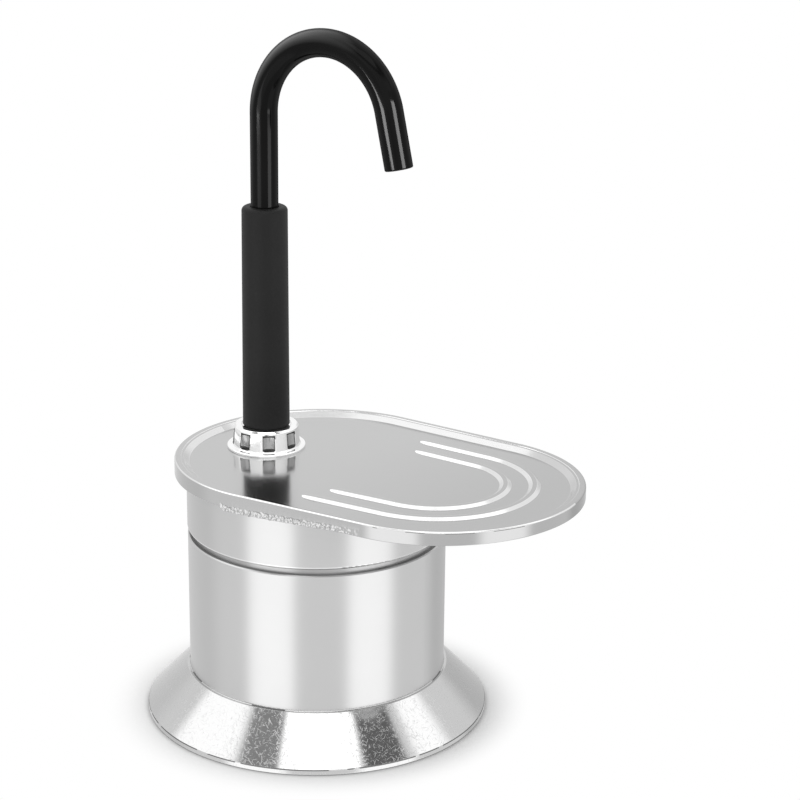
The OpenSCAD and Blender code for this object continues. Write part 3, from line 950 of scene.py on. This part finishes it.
def union_nut():
    """The nut, with painted shade in its flutes and darker painted shade along their edges and ends."""
    rows = []
    for x, z, _, _ in rounded([
        (NUT_BORE, PLATE_FLOOR, 0.2), (NUT_RIM_R, PLATE_FLOOR, 0.1), (NUT_RIM_R, NUT_RIM_TOP, 0.3),
        (NUT_BODY_R, NUT_RIM_TOP, 0.15), (NUT_TOP_R, NUT_TOP - NUT_CHAMFER, 0),
    ], closed=False)[:-1]:
        rows.append((x, z, ""))
    first = rows[-1][1] + 0.02
    for k in range(FLUTE_ROWS + 1):
        z = first + (NUT_TOP - NUT_CHAMFER - 0.12 - first) * k / FLUTE_ROWS
        rows.append((body_radius(z), z, "flute"))
    for x, z, _, _ in rounded([
        (NUT_BODY_R, NUT_RIM_TOP, 0), (NUT_TOP_R, NUT_TOP - NUT_CHAMFER, 0.15),
        (NUT_TOP_R - NUT_CHAMFER, NUT_TOP, 0.15), (GRIP_FOOT_R + CLEAR, NUT_TOP, 0.15),
        (GRIP_FOOT_R + CLEAR, NUT_TOP - SEAT_DEPTH, 0.1), (TUBE_R + CLEAR, NUT_TOP - SEAT_DEPTH, 0.1),
        (TUBE_R + CLEAR, SEAL_TOP + TUBE_FLANGE_T, 0.1), (NUT_BORE, SEAL_TOP + TUBE_FLANGE_T, 0.1),
        (NUT_BORE, PLATE_FLOOR, 0),
    ], closed=False)[1:-1]:
        rows.append((x, z, ""))
    nut = shaped("union_nut", rows, fluted, upright(SPOUT_X), FLUTES * FLUTE_STEPS, 40)
    for face in nut.data.polygons:
        x, y, z = face.center / MM
        depth = body_radius(z) - math.hypot(x - SPOUT_X, y)
        # Painted shade in the flutes, darkest where they are shallow and near their ends
        if FLUTE_LOW - 0.1 < z < FLUTE_HIGH + 0.1 and 0.05 < depth < FLUTE_DEPTH + 0.1:
            shaded = depth < 0.16 or z > FLUTE_HIGH - 0.55 or z < FLUTE_LOW + 0.6
            face.material_index = 2 if shaded else 1
    return nut


dress(union_nut(), "nut", (chrome, chrome_pocket_shade, chrome_shade), "nut_chrome", "spout_nut")

bend_end = BEND_Z + BEND_R * BEND_ANGLE
spout_end = bend_end + TIP_LEN
spout_outline = rounded([
    (TUBE_BORE, SEAL_TOP, 0.1), (STUB_R, SEAL_TOP, 0.15), (STUB_R, SEAL_TOP + TUBE_FLANGE_T, 0.15),
    (TUBE_R, SEAL_TOP + TUBE_FLANGE_T, 0.1), (TUBE_R, spout_end, 0.35), (TUBE_BORE, spout_end, 0.3),
])
gooseneck = dress(turned(
    "gooseneck", dense(spout_outline, BEND_STEP, BEND_Z - 1, bend_end + 1), spout_path, 64,
), "spout", black_gloss, "black_tube", "spout_tube")

dress(turned("grip_tube", rounded([
    (GRIP_BORE, GRIP_LOW, 0.1), (GRIP_FOOT_R, GRIP_LOW, 0.45), (GRIP_R, GRIP_TOP, 1.5), (GRIP_BORE, GRIP_TOP, 0.3),
], steps=8), upright(SPOUT_X), 128), "spout", grip_black, "grip_rubber", "grip_sleeve")


# ---- camera, floor and light

# The camera as fitted to the photo's outlines: its axes before the roll, and its place in metres
right = Vector((0.8372, 0.5469, 0.0))
ahead = Vector((-0.5208, 0.7972, -0.3055))
above = right.cross(ahead)
ROLL = math.radians(0.628)
EYE = Vector((0.2819, -0.3968, 0.2310))
LENS = 100.44
SENSOR = 36.0

turned_right = right * math.cos(ROLL) + above * math.sin(ROLL)
turned_above = above * math.cos(ROLL) - right * math.sin(ROLL)
camera = bpy.data.objects.new("camera", bpy.data.cameras.new("camera"))
camera.data.lens = LENS
camera.data.sensor_width = SENSOR
camera.data.clip_end = 20.0
camera.matrix_world = Matrix((
    (turned_right.x, turned_above.x, -ahead.x, EYE.x),
    (turned_right.y, turned_above.y, -ahead.y, EYE.y),
    (turned_right.z, turned_above.z, -ahead.z, EYE.z),
    (0, 0, 0, 1),
))
bpy.context.scene.collection.objects.link(camera)
bpy.context.scene.camera = camera

FLOOR_HALF = 4.0
FLOOR_DROP = 0.05
FLOOR_TONE = (0.84, 0.84, 0.84, 1)
SHADOW_REACH = 13.6


def white_floor():
    """A floor that is pure white away from the foot and takes a soft shadow close to it."""
    bm = bmesh.new()
    bmesh.ops.create_grid(bm, x_segments=8, y_segments=8, size=FLOOR_HALF)
    mesh = bpy.data.meshes.new("floor")
    bm.to_mesh(mesh)
    bm.free()
    made = new_object("floor", mesh)
    made.location.z = -FLOOR_DROP * MM
    made.visible_glossy = False
    mat, g, shader, place = material("floor_white")
    near = g.add("ShaderNodeAmbientOcclusion", FLOOR_TONE, SHADOW_REACH * MM, samples=8)
    link(g, shader, Base_Color=near.outputs["Color"], Roughness=0.9, Specular_IOR_Level=0.0)
    apart = g.add("ShaderNodeVectorMath", place, operation="LENGTH").outputs["Value"]
    bare = g.ramp(apart, (FOOT_R - 1) * MM, (FOOT_R + 11) * MM)
    seen = g.add("ShaderNodeLightPath")
    straight = g.math("MAXIMUM", seen.outputs["Is Camera Ray"], seen.outputs["Is Transmission Ray"])
    glow = g.add("ShaderNodeEmission", (1, 1, 1, 1), 1.0).outputs[0]
    mixed = g.add("ShaderNodeMixShader", g.math("MULTIPLY", straight, bare), shader.outputs[0], glow).outputs[0]
    output = next(n for n in g.tree.nodes if n.type == "OUTPUT_MATERIAL")
    g.plug(output, 0, mixed)
    mesh.materials.append(mat)
    return made


floor = white_floor()

# The level way from the object towards the camera, from which azimuths are counted to the right
FLAT = Vector((-ahead.x, -ahead.y, 0)).normalized()

# Lighter and darker zones of the studio, in degrees: azimuth from and to and its softness,
# height from and to and its softness; and the change of light
ZONES = (
    (-61.0, -18.5, 5.0, -60.0, 8.0, 3.0, 0.72),
    (-61.0, -18.5, 5.0, 30.0, 43.0, 3.0, 0.68),
    (30.0, 72.0, 6.0, -60.0, 8.0, 3.0, 0.71),
    (30.0, 72.0, 6.0, 30.0, 42.0, 3.0, 0.67),
    (84.0, 108.0, 5.0, 28.0, 46.0, 3.0, 0.75),
    (-112.0, -67.0, 4.0, 24.0, 50.0, 2.0, 0.75),
    (122.0, 176.0, 8.0, -60.0, 14.0, 6.0, -0.3),
    (-176.0, -100.0, 10.0, -60.0, 14.0, 6.0, -0.15),
    (-18.0, 30.0, 3.0, 4.0, 44.0, 3.0, 0.4),
    (-34.0, 34.0, 3.0, 46.0, 53.0, 1.0, -0.75),
)

# The bright strip above, and the flags beside it: angle to the side from and to and its softness,
# height from and to; and the change of light
STRIP = (-18.8, 23.5, 2.0, 55.5, 80.0, 1.3)
FLAGS = (
    (23.5, 43.4, 2.6, 46.5, 86.0, -0.82),
    (-37.5, -18.8, 2.6, 50.5, 86.0, -0.64),
)


def studio():
    """White all round, with lighter and darker zones, and a strip above and in front between dark flags."""
    world = bpy.data.worlds.new("studio")
    bpy.context.scene.world = world
    world.use_nodes = True
    g = Graph(world.node_tree)
    way = g.add("ShaderNodeTexCoord").outputs["Generated"]

    def dot(axis):
        return g.add("ShaderNodeVectorMath", way, tuple(axis), operation="DOT_PRODUCT").outputs["Value"]

    def degrees(angle):
        return g.math("MULTIPLY", angle, 180 / math.pi)

    x, y, z = dot(right), dot(FLAT), dot(Vector((0, 0, 1)))
    azimuth = degrees(g.math("ARCTAN2", x, y))
    height = degrees(g.math("ARCSINE", z))
    lateral = degrees(g.math("ARCTAN2", x, z))
    front = g.ramp(y, 0.1, 0.16)

    def over_front(low, high, soft, under, top, gain, light):
        area = g.math("MULTIPLY", g.window(lateral, low, high, soft), g.window(height, under, top, 1.5))
        return g.math("MULTIPLY_ADD", g.math("MULTIPLY", area, front), gain, light)

    light = over_front(*STRIP, 1.0)
    behind = g.math("SUBTRACT", 1.0, g.window(azimuth, -80.0, 96.0, 2.0))
    light = g.math("MULTIPLY_ADD", g.math("MULTIPLY", behind, g.window(height, 50.0, 86.0, 1.0)), 0.5, light)
    for low, high, soft, under, top, edge, gain in ZONES:
        area = g.math("MULTIPLY", g.window(azimuth, low, high, soft), g.window(height, under, top, edge))
        light = g.math("MULTIPLY_ADD", area, gain, light)
    for flag in FLAGS:
        light = over_front(*flag, light)
    plain = g.add("ShaderNodeLightPath").outputs["Is Camera Ray"]
    level = g.math("ADD", plain, g.math("MULTIPLY", g.math("SUBTRACT", 1.0, plain), light))
    back = g.add("ShaderNodeBackground", (1, 1, 1, 1), level)
    g.add("ShaderNodeOutputWorld", back.outputs[0])


TUBE_ONLY = bpy.data.collections.new("tube_only")
TUBE_ONLY.objects.link(gooseneck)

# Soft boxes that draw stripes on the tube: azimuth in degrees, distance and heights in metres, watts
TUBE_BOXES = (
    ("left_box", -46.0, 0.45, 0.059, 0.125, 1.9),
    ("right_box", 45.0, 0.45, 0.156, 0.300, 3.55),
    ("left_low", -42.0, 0.40, 0.010, 0.060, 0.1),
    ("right_low", 47.0, 0.40, 0.010, 0.060, 0.28),
)
BOX_WIDTH = 0.2

# The large soft box over the bend: angles in degrees, distance and width in metres, watts
ARCH_AZIMUTH = -108.0
ARCH_RISE = 40.0
ARCH_AWAY = 0.5
ARCH_WIDTH = 1.6
ARCH_POWER = 22.0
ARCH_SPREAD = 105.0


def tube_lamp(name, place, aim, wide, tall, power):
    """A soft box that lights the black tube and nothing else."""
    lamp = bpy.data.lights.new(name, "AREA")
    lamp.shape = "RECTANGLE"
    lamp.size = wide
    lamp.size_y = tall
    lamp.energy = power
    stand = bpy.data.objects.new(name, lamp)
    stand.location = place
    stand.rotation_euler = (place - aim).to_track_quat("Z", "Y").to_euler()
    stand.light_linking.receiver_collection = TUBE_ONLY
    bpy.context.scene.collection.objects.link(stand)
    return lamp


def tube_lamps():
    for name, azimuth, away, low, high, power in TUBE_BOXES:
        a = math.radians(azimuth)
        middle = Vector((0, 0, (low + high) / 2))
        place = FLAT * (away * math.cos(a)) + right * (away * math.sin(a)) + middle
        tube_lamp(name, place, Vector((0, 0, place.z)), BOX_WIDTH, high - low, power)
    a, rise = math.radians(ARCH_AZIMUTH), math.radians(ARCH_RISE)
    arch = Vector((0, 0, BEND_Z * MM))
    way = (FLAT * math.cos(a) + right * math.sin(a)) * math.cos(rise) + Vector((0, 0, math.sin(rise)))
    lamp = tube_lamp("arch_box", arch + way * ARCH_AWAY, arch, ARCH_WIDTH, ARCH_WIDTH, ARCH_POWER)
    lamp.spread = math.radians(ARCH_SPREAD)


tube_lamps()
studio()
bpy.context.scene.view_settings.view_transform = "Standard"
